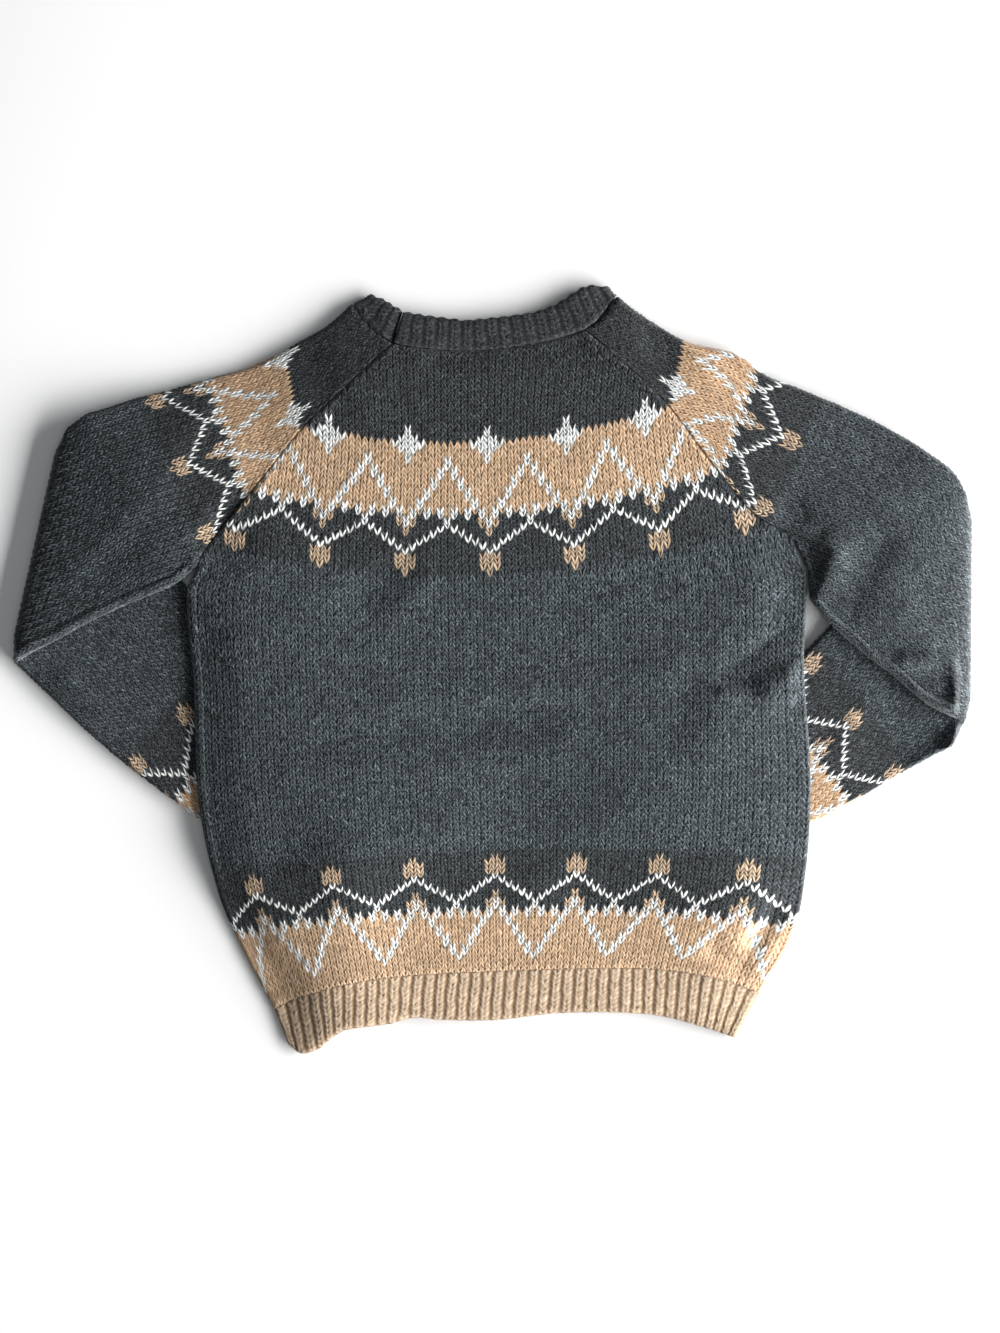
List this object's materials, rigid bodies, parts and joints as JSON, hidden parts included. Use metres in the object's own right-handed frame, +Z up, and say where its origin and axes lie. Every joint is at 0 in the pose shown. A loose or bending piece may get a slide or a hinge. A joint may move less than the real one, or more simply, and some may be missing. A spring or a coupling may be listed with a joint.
{
  "type": "fair isle jumper",
  "caption": "Child's knitted raglan jumper with a banded yoke and hem pattern, laid flat with its back up and its sleeves turned under at the elbows.",
  "frame": {"origin": "middle of the jumper's extents in plan, on the surface that it lies on", "axes": "+Z up from the surface, +Y towards the neck, +X to the right as the back is seen from above, which is the wearer's right"},
  "size_m": [0.5755, 0.4638, 0.0141],
  "materials": {
    "charcoal_knit": "matte",
    "sand_knit": "matte"
  },
  "bodies": {
    "root": {"back": "charcoal_knit", "front": "charcoal_knit", "left_sleeve": "charcoal_knit", "right_sleeve": "charcoal_knit", "neckband": "charcoal_knit", "back_hem_rib": "sand_knit", "front_hem_rib": "sand_knit", "left_cuff": "sand_knit", "right_cuff": "sand_knit"}
  },
  "joints": []
}
